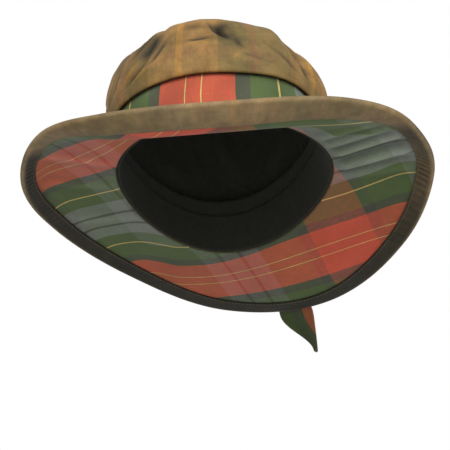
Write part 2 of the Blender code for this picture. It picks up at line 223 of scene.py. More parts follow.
# The large dents and swells of the dome. Each is a soft trough along a line: the place of its
# middle, its depth, half length and half width as shares of the crown's height, and the line's
# angle, 0 along the crown towards +bearing and 90 straight up it. A swell has a depth below zero.
Dent = namedtuple("Dent", "bearing dome depth length width angle")
DENTS = [
    Dent(bearing=4, dome=0.61, depth=0.070, length=0.10, width=0.05, angle=-50),
    Dent(bearing=14, dome=0.38, depth=0.020, length=0.12, width=0.06, angle=-60),
    Dent(bearing=-8, dome=0.49, depth=0.018, length=0.09, width=0.03, angle=0),
    Dent(bearing=-35, dome=0.50, depth=0.045, length=0.12, width=0.05, angle=60),
    Dent(bearing=-42, dome=0.24, depth=0.018, length=0.20, width=0.05, angle=24),
    Dent(bearing=-31, dome=0.78, depth=0.030, length=0.08, width=0.06, angle=0),
    Dent(bearing=-42, dome=0.72, depth=0.030, length=0.08, width=0.06, angle=40),
    Dent(bearing=-52, dome=0.78, depth=0.050, length=0.14, width=0.10, angle=30),
    Dent(bearing=-66, dome=0.50, depth=0.025, length=0.14, width=0.10, angle=20),
    Dent(bearing=47, dome=0.71, depth=0.030, length=0.07, width=0.045, angle=-60),
    Dent(bearing=51, dome=0.50, depth=0.045, length=0.15, width=0.055, angle=-60),
    Dent(bearing=58, dome=0.74, depth=0.060, length=0.12, width=0.08, angle=-60),
    Dent(bearing=-3, dome=0.84, depth=-0.008, length=0.14, width=0.09, angle=0),
    Dent(bearing=37, dome=0.76, depth=-0.014, length=0.12, width=0.08, angle=0),
    Dent(bearing=82, dome=0.38, depth=-0.050, length=0.25, width=0.22, angle=90),
    Dent(bearing=-82, dome=0.24, depth=-0.014, length=0.25, width=0.12, angle=0),
    Dent(bearing=104, dome=0.70, depth=0.060, length=0.18, width=0.08, angle=70),
    Dent(bearing=138, dome=0.42, depth=0.055, length=0.22, width=0.07, angle=-35),
    Dent(bearing=174, dome=0.62, depth=0.070, length=0.18, width=0.08, angle=55),
    Dent(bearing=208, dome=0.36, depth=0.045, length=0.22, width=0.07, angle=20),
    Dent(bearing=236, dome=0.72, depth=0.065, length=0.18, width=0.09, angle=-60),
    Dent(bearing=262, dome=0.48, depth=0.040, length=0.16, width=0.06, angle=50),
]

# The sharper creases and ridges on top of the dents
CREASES = [
    Dent(bearing=4, dome=0.61, depth=0.030, length=0.09, width=0.022, angle=-48),
    Dent(bearing=13, dome=0.42, depth=0.014, length=0.08, width=0.020, angle=-58),
    Dent(bearing=9, dome=0.54, depth=-0.014, length=0.10, width=0.022, angle=-50),
    Dent(bearing=-7, dome=0.42, depth=0.022, length=0.08, width=0.014, angle=3),
    Dent(bearing=61, dome=0.28, depth=-0.022, length=0.24, width=0.030, angle=-78),
    Dent(bearing=53, dome=0.28, depth=0.014, length=0.15, width=0.020, angle=-75),
    Dent(bearing=-43, dome=0.11, depth=-0.022, length=0.18, width=0.022, angle=22),
    Dent(bearing=-34, dome=0.31, depth=-0.014, length=0.10, width=0.014, angle=30),
    Dent(bearing=12, dome=0.18, depth=-0.007, length=0.08, width=0.014, angle=40),
    Dent(bearing=-7, dome=0.34, depth=-0.009, length=0.10, width=0.018, angle=0),
    Dent(bearing=-40, dome=0.60, depth=0.026, length=0.12, width=0.022, angle=50),
    Dent(bearing=-33, dome=0.62, depth=-0.014, length=0.14, width=0.020, angle=68),
    Dent(bearing=-42, dome=0.22, depth=0.018, length=0.18, width=0.014, angle=26),
    Dent(bearing=-49, dome=0.21, depth=-0.018, length=0.12, width=0.018, angle=30),
    Dent(bearing=-48, dome=0.08, depth=0.014, length=0.16, width=0.013, angle=24),
    Dent(bearing=-30, dome=0.32, depth=0.014, length=0.14, width=0.016, angle=48),
    Dent(bearing=-60, dome=0.30, depth=0.016, length=0.12, width=0.016, angle=44),
    Dent(bearing=-70, dome=0.20, depth=0.014, length=0.12, width=0.016, angle=50),
    Dent(bearing=44, dome=0.54, depth=0.024, length=0.13, width=0.018, angle=-62),
    Dent(bearing=52, dome=0.40, depth=0.016, length=0.14, width=0.016, angle=-44),
    Dent(bearing=40, dome=0.24, depth=0.014, length=0.16, width=0.016, angle=-30),
    Dent(bearing=56, dome=0.20, depth=0.014, length=0.12, width=0.015, angle=-66),
    Dent(bearing=70, dome=0.52, depth=0.012, length=0.14, width=0.016, angle=-70),
    Dent(bearing=22, dome=0.16, depth=0.010, length=0.14, width=0.016, angle=-14),
    Dent(bearing=100, dome=0.40, depth=0.018, length=0.16, width=0.018, angle=62),
    Dent(bearing=122, dome=0.24, depth=0.016, length=0.16, width=0.018, angle=-30),
    Dent(bearing=150, dome=0.52, depth=0.018, length=0.16, width=0.018, angle=-48),
    Dent(bearing=168, dome=0.26, depth=0.016, length=0.16, width=0.018, angle=30),
    Dent(bearing=192, dome=0.50, depth=0.018, length=0.15, width=0.018, angle=62),
    Dent(bearing=220, dome=0.26, depth=0.016, length=0.16, width=0.016, angle=-24),
    Dent(bearing=246, dome=0.56, depth=0.018, length=0.15, width=0.018, angle=40),
    Dent(bearing=276, dome=0.30, depth=0.016, length=0.15, width=0.016, angle=-52),
]

# Painted shadows in the wax's dark colour, in the deepest folds at the upper left and in front. Here
# the depth is the share of the cloth's colour that the painted shadow hides.
FOLD_SHADOWS = [
    Dent(bearing=-31, dome=0.56, depth=0.90, length=0.063, width=0.081, angle=0),
    Dent(bearing=-36, dome=0.44, depth=0.90, length=0.090, width=0.072, angle=0),
    Dent(bearing=5, dome=0.65, depth=0.80, length=0.072, width=0.036, angle=0),
    Dent(bearing=9, dome=0.52, depth=0.55, length=0.054, width=0.063, angle=0),
    Dent(bearing=13, dome=0.36, depth=0.30, length=0.045, width=0.063, angle=0),
    Dent(bearing=-9, dome=0.61, depth=0.65, length=0.090, width=0.036, angle=0),
    Dent(bearing=-6, dome=0.41, depth=0.35, length=0.144, width=0.018, angle=0),
]

# The gathered folds of the lining. Each hangs from the brim by its drop in metres, along a line that
# runs outwards from one bearing and turns on its way to the rim. Turn and half width are in degrees.
Drape = namedtuple("Drape", "bearing turn drop width")
DRAPES = [
    Drape(bearing=52, turn=-5, drop=0.0018, width=2.6),
    Drape(bearing=61, turn=-6, drop=0.0026, width=2.4),
    Drape(bearing=70, turn=-8, drop=0.0040, width=2.8),
    Drape(bearing=83, turn=-8, drop=0.0046, width=3.0),
    Drape(bearing=93, turn=-5, drop=0.0014, width=2.6),
    Drape(bearing=262, turn=4, drop=0.0012, width=3.0),
    Drape(bearing=284, turn=3, drop=0.0014, width=3.0),
    Drape(bearing=236, turn=4, drop=0.0010, width=3.0),
]

# The lining's grain is turned from the hat's middle line, in degrees. Its cloth is eased forwards
# round one bearing, by a length in metres, and sideways at the left, where its grain also turns
# further, by a slope that grows towards the back.
GRAIN_ANGLE = 24
EASE = 0.110
EASE_BEARING = 5
EASE_SPREAD = 42
LEFT_EASE = 0.045
LEFT_TURN = 0.17
LEFT_TWIST = 0.12
LEFT_MIDDLE = 0.113

# The tie's tails, each with the CAD node and the size that it follows, its side of the knot, the
# bearing at which it reaches the rim, and where its tartan starts in millimetres
Tail = namedtuple("Tail", "name node length side rim_bearing start")
TAILS = [
    Tail("tie_tail_long", "tail_long", "long_tail", side=-1, rim_bearing=161.5, start=-59),
    Tail("tie_tail_short", "tail_short", "short_tail", side=1, rim_bearing=188, start=20),
]

# The tartan's sett and the waxed cloth's overcheck: how wide each stripe is, in millimetres
Stripe = namedtuple("Stripe", "width colour")
TARTAN = [
    Stripe(width=18.7, colour="red"),
    Stripe(width=1.1, colour="line"),
    Stripe(width=9.7, colour="red"),
    Stripe(width=1.1, colour="line"),
    Stripe(width=22.4, colour="red"),
    Stripe(width=10.0, colour="dark"),
    Stripe(width=22.0, colour="green"),
    Stripe(width=1.1, colour="line"),
    Stripe(width=15.7, colour="green"),
    Stripe(width=16.0, colour="grey"),
    Stripe(width=3.2, colour="dark"),
    Stripe(width=15.0, colour="grey"),
    Stripe(width=3.2, colour="dark"),
    Stripe(width=15.6, colour="grey"),
    Stripe(width=16.0, colour="green"),
    Stripe(width=1.1, colour="line"),
    Stripe(width=21.7, colour="green"),
    Stripe(width=10.0, colour="dark"),
]
OVERCHECK = [
    Stripe(width=5.5, colour="gold"),
    Stripe(width=29.0, colour="brown"),
    Stripe(width=26.5, colour="moss"),
    Stripe(width=8.0, colour="maroon"),
    Stripe(width=32.5, colour="moss"),
    Stripe(width=30.0, colour="brown"),
]


def linear(code):
    """An sRGB hex colour as linear red, green, blue and alpha."""
    parts = [int(code[i : i + 2], 16) / 255 for i in (1, 3, 5)]
    return (*(p / 12.92 if p <= 0.04045 else ((p + 0.055) / 1.055) ** 2.4 for p in parts), 1.0)


def length_property(name, description, default):
    return FloatProperty(
        name=name, description=description, default=default, min=0, unit="LENGTH", precision=4
    )


def colour_property(name, description, code):
    return FloatVectorProperty(
        name=name, description=description, default=linear(code), size=4, min=0, max=1, subtype="COLOR"
    )


class HatSizes(bpy.types.PropertyGroup):
    """Sizes of the hat, in metres."""

    head_width: length_property("Head width", "Width of the head opening", 0.180)
    head_length: length_property("Head length", "Length of the head opening, front to back", 0.198)
    brim_width: length_property("Brim width", "Cloth of the brim from the crown to the rim", 0.087)
    facing_width: length_property("Facing width", "Waxed strip on the underside of the rim", 0.016)
    crown_height: length_property("Crown height", "Height of the crown over its seam", 0.111)
    crown_lean: length_property("Crown lean", "How far the soft crown slumps towards -X", 0.011)
    band_height: length_property("Band height", "Height of the wall behind the hat band", 0.042)
    sweatband_height: length_property("Sweatband height", "Height of the band inside the crown", 0.032)
    knot_width: length_property("Knot width", "Width of the tie's knot", 0.032)
    knot_depth: length_property("Knot depth", "How far the knot stands off the band", 0.015)
    tail_width: length_property("Tail width", "Width of the tie's tails", 0.029)
    long_tail: length_property("Long tail", "Length of the tail that hangs over the rim", 0.144)
    short_tail: length_property("Short tail", "Length of the tail that lies on the brim", 0.074)


class HatColours(bpy.types.PropertyGroup):
    """Colours of the hat's cloths and of the studio."""

    brown: colour_property("Waxed brown", "Ground colour of the waxed cotton", "#97703B")
    moss: colour_property("Waxed moss", "Greener ground of the waxed cotton's check", "#685B33")
    bloom: colour_property("Bloom", "Dull tan of the dry wax on the facing", "#857A62")
    # The gold also paints the ridges, partly as rubbed wear and partly as a highlight
    gold: colour_property("Waxed gold", "Gold stripe of the waxed cotton's check", "#BE8630")
    maroon: colour_property("Waxed maroon", "Maroon stripe of the waxed cotton's check", "#7F4C3A")
    # The old wax's dark also paints the shade in the folds, the painted shadows and the shade under the
    # brim
    wax: colour_property("Old wax", "Dark wax that gathers in the folds", "#17170F")
    red: colour_property("Tartan red", "Red of the tartan", "#BE4F39")
    green: colour_property("Tartan green", "Green of the tartan", "#4A5B31")
    grey: colour_property("Tartan grey", "Blue-grey of the tartan", "#73796F")
    dark: colour_property("Tartan dark", "Dark stripes of the tartan", "#45463A")
    line: colour_property("Tartan yellow", "Thin yellow lines of the tartan", "#CFB368")
    sweatband: colour_property("Sweatband", "Dark cotton inside the crown", "#1B1B15")
    reverse: colour_property("Reverse", "Unwaxed back of the crown's cloth", "#1D1D17")
    thread: colour_property("Thread", "Sewing thread of the facing", "#857353")
    floor: colour_property("Floor", "The studio's floor", "#E6E6E4")


def sizes():
    return bpy.context.scene.hat_sizes


def colours():
    return bpy.context.scene.hat_colours


def smooth(share):
    """Eases from 0 to 1, level at both ends."""
    share = np.clip(share, 0, 1)
    return share * share * (3 - 2 * share)


def spline(before, here, after, beyond, part):
    """A smooth curve from here to after, level with its neighbours at both."""
    return 0.5 * (
        2 * here
        + (after - before) * part
        + (2 * before - 5 * here + 4 * after - beyond) * part**2
        + (3 * here - before - 3 * after + beyond) * part**3
    )


def round_about(table, column, bearing):
    """The column's value at each bearing, on one smooth curve through all rows of the table."""
    values = np.array([getattr(row, column) for row in table], dtype=float)
    place = np.asarray(bearing) % 360 * len(table) / 360
    row = np.floor(place).astype(int)
    near = [values[(row + i) % len(table)] for i in (-1, 0, 1, 2)]
    return spline(*near, place - row)


def off_bearing(bearing, middle=0.0):
    """How far each bearing is from a middle one, from -180 to 180 degrees."""
    return (bearing - middle + 180) % 360 - 180


def opening_height(bearing):
    """The seam round the head dips at the front and more at the back."""
    along = np.cos(np.radians(bearing))
    return -np.where(along > 0, FRONT_DIP, BACK_DIP) * along**2


def outwards(bearing):
    """The level direction straight away from the head opening's edge."""
    turn = np.radians(bearing)
    x = np.sin(turn) / sizes().head_width
    y = -np.cos(turn) / sizes().head_length
    way = np.stack([x, y, 0 * turn], -1)
    return way / np.linalg.norm(way, axis=-1, keepdims=True)


def opening_point(bearing, spread=1.0, lift=0.0):
    """Points on the head opening's ellipse, spread by a share of it and then lifted outwards."""
    turn = np.radians(bearing)
    x = (sizes().head_width / 2 * spread + lift) * np.sin(turn)
    y = -(sizes().head_length / 2 * spread + lift) * np.cos(turn)
    return np.stack([x, y, opening_height(bearing) + 0 * x], -1)


def brim_width(bearing):
    return sizes().brim_width * round_about(BRIM_SECTIONS, "width", bearing)


def brim_slope(bearing, share):
    """The brim keeps its inner slope for a share of its width, and then curls to its rim's slope."""
    inner = round_about(BRIM_SECTIONS, "inner_slope", bearing)
    rim = round_about(BRIM_SECTIONS, "rim_slope", bearing)
    return np.radians(inner + (rim - inner) * smooth((share - CURL_START) / (1 - CURL_START)))


def brim_point(bearing, share, lift=0.0, past=0.0):
    """Points of the brim a share of the way to its rim, lifted off it, or past the rim."""
    bearing, share, lift, past = np.broadcast_arrays(
        *(np.asarray(v, dtype=float) for v in (bearing, share, lift, past))
    )
    width = brim_width(bearing)
    out = np.zeros(bearing.shape)
    rise = np.zeros(bearing.shape)
    for i in range(SLOPE_STEPS):
        part = np.clip(share * SLOPE_STEPS - i, 0, 1) / SLOPE_STEPS
        slope = brim_slope(bearing, (i + 0.5) / SLOPE_STEPS)
        out = out + width * part * np.cos(slope)
        rise = rise + width * part * np.sin(slope)
    slope = brim_slope(bearing, share)
    out = out + past * np.cos(slope) - lift * np.sin(slope)
    rise = rise + past * np.sin(slope) + lift * np.cos(slope)
    point = opening_point(bearing, lift=GAP) + out[..., None] * outwards(bearing)
    point[..., 2] += rise
    return point


def facing_start(bearing):
    """How far across the brim the facing's inner edge is."""
    width = sizes().facing_width * round_about(BRIM_SECTIONS, "facing", bearing)
    return 1 - width / brim_width(bearing)


def facing_lap(bearing):
    """How far across the brim the facing's lap on the top side begins."""
    return 1 - (1 - facing_start(bearing)) / 2


def lean(height):
    """How far the crown slumps aside at each height."""
    return sizes().crown_lean * (np.maximum(height, 0) / sizes().crown_height) ** LEAN_POWER


def pressed(dents, bearing, dome):
    """How deep a table of dents presses each place of the dome, in the table's own measure of depth."""
    scale = sizes().crown_height
    depth = np.zeros(np.shape(bearing))
    for dent in dents:
        along = np.radians(off_bearing(bearing, dent.bearing)) * sizes().head_length / 2
        up = (dome - dent.dome) * (scale - sizes().band_height)
        angle = radians(dent.angle)
        run = (along * cos(angle) + up * sin(angle)) / (dent.length * scale)
        aside = (up * cos(angle) - along * sin(angle)) / (dent.width * scale)
        depth = depth + dent.depth * np.exp(-(run**2) - aside**2)
    return depth


def crumple(points, size, seed):
    """Soft random relief from -1 to 1 at each point."""
    offset = Vector((seed, 2 * seed, 3 * seed))
    return np.array([noise.noise(Vector(point) / size + offset) for point in points])


def crown_level(step):
    """Spread, band and dome shares at each place up the crown, from 0 at its seam to 1 at its top."""
    rows = np.array(CROWN_LEVELS, dtype=float)
    last = len(rows) - 1
    beyond_top = rows[-2] * (-1, 1, 1)
    rows = np.vstack([2 * rows[0] - rows[1], rows, beyond_top])
    place = np.clip(step, 0, 1) * last
    row = np.minimum(np.floor(place).astype(int), last - 1)
    near = [rows[row + i] for i in range(4)]
    return spline(*near, (place - row)[..., None])


def fold_rise(bearing):
    """How much higher the soft fold over the band stands where the crown is pulled up."""
    rise = 0.0
    for place in FOLD_RISES:
        off = off_bearing(bearing, place.bearing)
        rise = rise + place.rise * sizes().band_height * np.exp(-((off / place.spread) ** 2))
    return rise


def crown_base(bearing, level, lift=0.0):
    """The crown before its dents, at each bearing and level, lifted outwards from its surface."""
    spread, band, dome = level[..., 0], level[..., 1], level[..., 2]
    height = band * sizes().band_height + dome * (sizes().crown_height - sizes().band_height)
    point = opening_point(bearing, spread, lift)
    point[..., 0] -= lean(height)
    point[..., 2] = height + (point[..., 2] + band * fold_rise(bearing)) * (1 - smooth(dome))
    return point


def crown_points(bearing, step):
    """The crown's surface and how deep each of its points lies in a fold."""
    level = crown_level(step)
    dome = level[:, 2]
    point = crown_base(bearing, level)
    top = smooth((dome - TOP_START) / (1 - TOP_START))
    free = smooth(dome / FOLD_SHARE)
    dented = sizes().crown_height * pressed(DENTS, bearing, dome)
    creased = sizes().crown_height * pressed(CREASES, bearing, dome)
    rough = CRUMPLE * crumple(point, CRUMPLE_SIZE, 3)
    rough = rough + CRUMPLE_FINE * crumple(point, CRUMPLE_FINE_SIZE, 7)
    seam = TOP_SEAM_RELIEF * np.exp(-(((dome - TOP_SEAM) / TOP_SEAM_SPREAD) ** 2))
    depth = (dented + creased + seam) * free * (1 - top) + TOP_DIP * sizes().crown_height * top
    depth = depth + rough * smooth(dome / CRUMPLE_SHARE) * (1 - top * 0.8)

    # Dents push towards the middle of the crown, over the band
    middle = np.array([-lean(sizes().crown_height), 0, sizes().band_height])
    towards = middle - point
    towards = towards / np.linalg.norm(towards, axis=-1, keepdims=True)
    # How deep each point lies in a fold, which paints its shade and highlight
    folded = (dented * 0.4 + creased * 1.6 + rough) * free
    return point + towards * depth[:, None], folded


def wall_point(bearing, band, lift):
    """Points on the crown's upright wall, a share of the band's height above its seam."""
    place = np.clip(band, 0, 1) * 2
    row = np.minimum(np.floor(place).astype(int), 1)
    rows = np.array(CROWN_LEVELS[:3], dtype=float)
    below = crown_base(bearing, rows[row], lift)
    above = crown_base(bearing, rows[row + 1], lift)
    return below + (above - below) * (place - row)[..., None]


def along_ellipse(bearing, extra=0.0):
    """Distance round the head opening from the front to each bearing, at a distance outside it."""
    fine = np.radians(np.arange(-360, 721))
    a = sizes().head_width / 2 + extra
    b = sizes().head_length / 2 + extra
    speed = np.hypot(a * np.cos(fine), b * np.sin(fine)) * radians(1)
    run = np.concatenate([[0], np.cumsum((speed[1:] + speed[:-1]) / 2)])
    run = run - np.interp(0, fine, run)
    return np.interp(np.radians(bearing), fine, run)


def deselect():
    if bpy.context.object and bpy.context.object.mode != "OBJECT":
        bpy.ops.object.mode_set(mode="OBJECT")
    bpy.ops.object.select_all(action="DESELECT")


def activate(piece):
    deselect()
    piece.select_set(True)
    bpy.context.view_layer.objects.active = piece


def apply_modifier(piece, kind, **settings):
    activate(piece)
    modifier = piece.modifiers.new(kind.lower(), kind)
    for name, value in settings.items():
        setattr(modifier, name, value)
    bpy.ops.object.modifier_apply(modifier=modifier.name)


def cloth(name, grid, shape, thickness, materials, flip=False):
    """A shell of cloth over a grid. shape turns the shares across and along, from 0 to 1, into points,
    places on the flat cloth in metres, and marks: the shading mark is -1 in a fold and 1 on a ridge,
    where the colour is painted darker as shade or paler as a highlight, and the second mark is 1 where
    the cloth is painted dark as shade, and along the crown's seam."""
    deselect()
    bpy.ops.mesh.primitive_grid_add(x_subdivisions=grid[0], y_subdivisions=grid[1], size=1)
    piece = bpy.context.object
    piece.name = piece.data.name = name
    mesh = piece.data
    count = len(mesh.vertices)
    places = np.empty(count * 3)
    mesh.vertices.foreach_get("co", places)
    places = places.reshape(count, 3)
    points, flat, marks = shape(places[:, 0] + 0.5, places[:, 1] + 0.5)
    mesh.vertices.foreach_set("co", np.ascontiguousarray(points, dtype=np.float32).ravel())
    corners = np.empty(len(mesh.loops), dtype=int)
    mesh.loops.foreach_get("vertex_index", corners)
    for layer in list(mesh.uv_layers):
        mesh.uv_layers.remove(layer)
    layer = mesh.uv_layers.new(name="cloth")
    layer.data.foreach_set("uv", np.ascontiguousarray(flat[corners], dtype=np.float32).ravel())
    for mark, values in marks.items():
        layer = mesh.attributes.new(mark, "FLOAT", "POINT")
        layer.data.foreach_set("value", np.ascontiguousarray(np.clip(values, -1, 1), dtype=np.float32))
    mesh.update()
    bpy.ops.object.mode_set(mode="EDIT")
    bpy.ops.mesh.select_all(action="SELECT")
    bpy.ops.mesh.remove_doubles(threshold=MERGE)
    if flip:
        bpy.ops.mesh.flip_normals()
    bpy.ops.object.mode_set(mode="OBJECT")
    bpy.ops.object.shade_smooth()
    for material in materials:
        mesh.materials.append(material)
    inner = len(materials) - 1
    apply_modifier(piece, "SOLIDIFY", thickness=thickness, offset=-1, material_offset=inner)
    return piece


def place(piece, slot, *nodes):
    """Says what carries a piece and hides the CAD nodes that it stands for. Its slot, the name of its
    finish, is not used.
    """
    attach(piece, "root")
    if nodes:
        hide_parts(*nodes)


def add_node(tree, kind, inputs=(), output=0, **settings):
    """One output of a new shader node. Its inputs are values or links, in order or by socket."""
    node = tree.nodes.new("ShaderNode" + kind)
    for name, value in settings.items():
        setattr(node, name, value)
    for socket, value in inputs.items() if isinstance(inputs, dict) else enumerate(inputs):
        if isinstance(value, bpy.types.NodeSocket):
            tree.links.new(value, node.inputs[socket])
        else:
            node.inputs[socket].default_value = value
    return node.outputs[output]


def new_material(name, roughness, sheen=0.0, specular=0.5):
    """A material with its node tree and its shader, which holds the values that are even all over."""
    material = bpy.data.materials.new(name)
    material.use_nodes = True
    shader = material.node_tree.nodes["Principled BSDF"]
    shader.inputs["Roughness"].default_value = roughness
    shader.inputs["Sheen Weight"].default_value = sheen
    shader.inputs["Sheen Roughness"].default_value = 0.6
    shader.inputs["Specular IOR Level"].default_value = specular
    return material, material.node_tree, shader


def striped(tree, distance, sett, start=0.0, lines=True):
    """The colour of a striped cloth at a distance across its stripes, in metres, with or without its
    thin lines. The stripes begin at start, in millimetres."""
    total = sum(stripe.width for stripe in sett)
    moved = add_node(tree, "Math", (distance, start / 1000), operation="SUBTRACT")
    repeats = add_node(tree, "Math", (moved, total / 1000), operation="DIVIDE")
    share = add_node(tree, "Math", (repeats,), operation="FRACT")
    colour = add_node(tree, "ValToRGB", (share,))
    ramp = colour.node.color_ramp
    ramp.interpolation = "CONSTANT"
    stops = ramp.elements
    edge = 0.0
    shown = ""
    for i, stripe in enumerate(sett):
        stop = stops[i] if i < 1 else stops.new(edge / total)
        stop.position = edge / total
        shown = stripe.colour if lines or stripe.colour != "line" else shown
        stop.color = getattr(colours(), shown)
        edge += stripe.width
    stops.remove(stops[len(stops) - 1])
    return colour


def flat_place(tree):
    """The place on the flat cloth, in metres, as a vector and its two parts."""
    place = add_node(tree, "UVMap", uv_map="cloth")
    across = add_node(tree, "SeparateXYZ", (place,))
    return place, across, across.node.outputs[1]


def threads(tree, place, pitch, along):
    """Uneven threads that run along one way of the cloth, from 0 to 1."""
    slow = 1 / (pitch * THREAD_RUN)
    stretch = (slow, 1 / pitch, 1) if along else (1 / pitch, slow, 1)
    mapped = add_node(tree, "Mapping", {"Vector": place, "Scale": stretch})
    return add_node(tree, "TexNoise", {"Vector": mapped, "Scale": 1.0, "Detail": 2.0})


def woven(tree, place, pitch):
    """The relief of a plain weave, from 0 to 1."""
    warp = threads(tree, place, pitch, True)
    weft = threads(tree, place, pitch, False)
    both = add_node(tree, "Math", (warp, weft), operation="ADD")
    return add_node(tree, "Math", (both, 0.5), operation="MULTIPLY")


def waxed_cotton(name, start, faint=0.0, bloom=0.0):
    """Waxed cotton canvas: dry wax dulls it, rubs off golden on the ridges and stays dark in the folds,
    over a faint woven check. The gold on the ridges is partly a painted highlight, and the dark in the
    folds partly painted shade. Threads are drawn 1.2 mm apart, three times as coarse as real ones, to
    show."""
    material, tree, shader = new_material(name, roughness=0.62, sheen=0.04, specular=0.25)
    place, across, up = flat_place(tree)
    solid = add_node(tree, "TexCoord", output="Object")

    # The check, fainter in some clouds than in others
    warp = striped(tree, across, OVERCHECK, start[0])
    weft = striped(tree, up, OVERCHECK, start[1])
    check = add_node(tree, "Mix", {0: 0.28, 6: warp, 7: weft}, **MIX)
    clouds = {"Vector": solid, "Scale": CLOUDS, "Detail": 5.0, "Roughness": 0.62}
    cloud = add_node(tree, "TexNoise", clouds)
    shown = add_node(tree, "MapRange", (cloud, 0.3, 0.7, 0.40 - faint, 0.90 - faint))
    ground = add_node(tree, "Mix", {0: shown, 6: colours().brown, 7: check}, **MIX)
    ground = add_node(tree, "Mix", {0: bloom, 6: ground, 7: colours().bloom}, **MIX)

    # Ridges rubbed golden and painted golden as a highlight, greener blotches between them
    wear = add_node(tree, "Attribute", output="Fac", attribute_name="wear")
    ridge = add_node(tree, "MapRange", (wear, 0.05, 0.9))
    uneven = add_node(tree, "Math", (cloud, 1.5), operation="MULTIPLY")
    rubbed_and_lit = add_node(tree, "Math", (ridge, uneven), operation="MULTIPLY")
    warm = add_node(tree, "Mix", {0: rubbed_and_lit, 6: ground, 7: colours().gold}, **MIX)
    patches = add_node(tree, "TexNoise", {"Vector": solid, "Scale": PATCHES, "Detail": 3.0})
    blotch = add_node(tree, "MapRange", (patches, 0.38, 0.66, 0.0, 0.55))
    mossy = add_node(tree, "Mix", {0: blotch, 6: warm, 7: colours().moss}, **MIX)

    # Old wax and painted shade darken the folds, and painted shadows in the wax's colour darken the
    # marked places
    fold = add_node(tree, "MapRange", (wear, -0.05, -0.9))
    patchy = add_node(tree, "Math", (cloud, 0.35), operation="ADD")
    fold_wax_and_shade = add_node(tree, "Math", (fold, patchy), operation="MULTIPLY")
    aged_and_shaded = add_node(tree, "Mix", {0: fold_wax_and_shade, 6: mossy, 7: colours().wax}, **MIX)
    soaked = add_node(tree, "Attribute", output="Fac", attribute_name="soaked")
    soak_and_shadow_share = add_node(tree, "Math", (soaked, 0.95), operation="MULTIPLY")
    aged_and_shaded = add_node(tree, "Mix", {0: soak_and_shadow_share, 6: aged_and_shaded, 7: colours().wax}, **MIX)

    # The threads and a mottle of dirt make it lighter and darker
    weave = woven(tree, place, WAXED_THREAD)
    fleck = add_node(tree, "MapRange", (weave, 0.35, 0.65, 0.90, 1.10))
    specks = {"Vector": solid, "Scale": SPECKS, "Detail": 4.0, "Roughness": 0.7}
    dirt = add_node(tree, "TexNoise", specks)
    mottle = add_node(tree, "MapRange", (dirt, 0.3, 0.7, 0.70, 1.26))
    tone = add_node(tree, "Math", (fleck, mottle), operation="MULTIPLY")
    tone = add_node(tree, "CombineXYZ", (tone, tone, tone))
    colour = add_node(tree, "Mix", {0: 1.0, 6: aged_and_shaded, 7: tone}, blend_type="MULTIPLY", **MIX)
    tree.links.new(colour, shader.inputs["Base Color"])

    # The wax is shinier in some clouds, and the canvas is woven and crinkled
    rough = add_node(tree, "MapRange", (cloud, 0.0, 1.0, 0.50, 0.74))
    tree.links.new(rough, shader.inputs["Roughness"])
    crinkles = {"Vector": solid, "Scale": CRINKLES, "Detail": 3.0, "Roughness": 0.6}
    crinkle = add_node(tree, "TexNoise", crinkles)
    low = add_node(tree, "Math", (weave, 0.4), operation="MULTIPLY")
    relief = add_node(tree, "Math", (low, crinkle), operation="ADD")
    bump = add_node(tree, "Bump", {"Height": relief, "Strength": 0.5, "Distance": 0.0006})
    tree.links.new(bump, shader.inputs["Normal"])
    return material


def tartan_cotton(name, start, cross_start, cross):
    """Plain-woven cotton tartan: matt dyed threads whose stripes cross, so each square mixes two
    colours. Threads are drawn 1 mm apart, about twice as coarse as real ones, to show."""
    material, tree, shader = new_material(name, roughness=0.86, sheen=0.08, specular=0.25)
    place, across, up = flat_place(tree)

    # Where two colours cross, slanting ribs 1.1 mm wide show more of the one or of the other
    warp = striped(tree, across, TARTAN, start)
    weft = striped(tree, up, TARTAN, cross_start, lines=False)
    slant = {"Vector": place, "Rotation": (0, 0, radians(45)), "Scale": (1 / 0.0011, 1 / 0.006, 1)}
    twill = add_node(tree, "Mapping", slant)
    ribs = add_node(tree, "TexNoise", {"Vector": twill, "Scale": 1.0, "Detail": 1.0})
    share = add_node(tree, "MapRange", (ribs, 0.3, 0.7, cross - 0.14, cross + 0.14))
    dyed = add_node(tree, "Mix", {0: share, 6: warp, 7: weft}, **MIX)

    # The threads and soft soiling make it lighter and darker, and the folds are painted darker as shade
    # and the ridges paler as a highlight
    weave = woven(tree, place, TARTAN_THREAD)
    fleck = add_node(tree, "MapRange", (weave, 0.35, 0.65, 0.92, 1.08))
    solid = add_node(tree, "TexCoord", output="Object")
    soil = add_node(tree, "TexNoise", {"Vector": solid, "Scale": SOIL, "Detail": 4.0})
    faded = add_node(tree, "MapRange", (soil, 0.3, 0.7, 0.88, 1.10))
    wear = add_node(tree, "Attribute", output="Fac", attribute_name="wear")
    fold = add_node(tree, "MapRange", (wear, -1.0, 1.0, 0.50, 1.38))
    tone = add_node(tree, "Math", (fleck, faded), operation="MULTIPLY")
    tone = add_node(tree, "Math", (tone, fold), operation="MULTIPLY")
    tone = add_node(tree, "CombineXYZ", (tone, tone, tone))
    colour = add_node(tree, "Mix", {0: 1.0, 6: dyed, 7: tone}, blend_type="MULTIPLY", **MIX)
    tree.links.new(colour, shader.inputs["Base Color"])
    bump = add_node(tree, "Bump", {"Height": weave, "Strength": 0.35, "Distance": 0.0004})
    tree.links.new(bump, shader.inputs["Normal"])
    return material


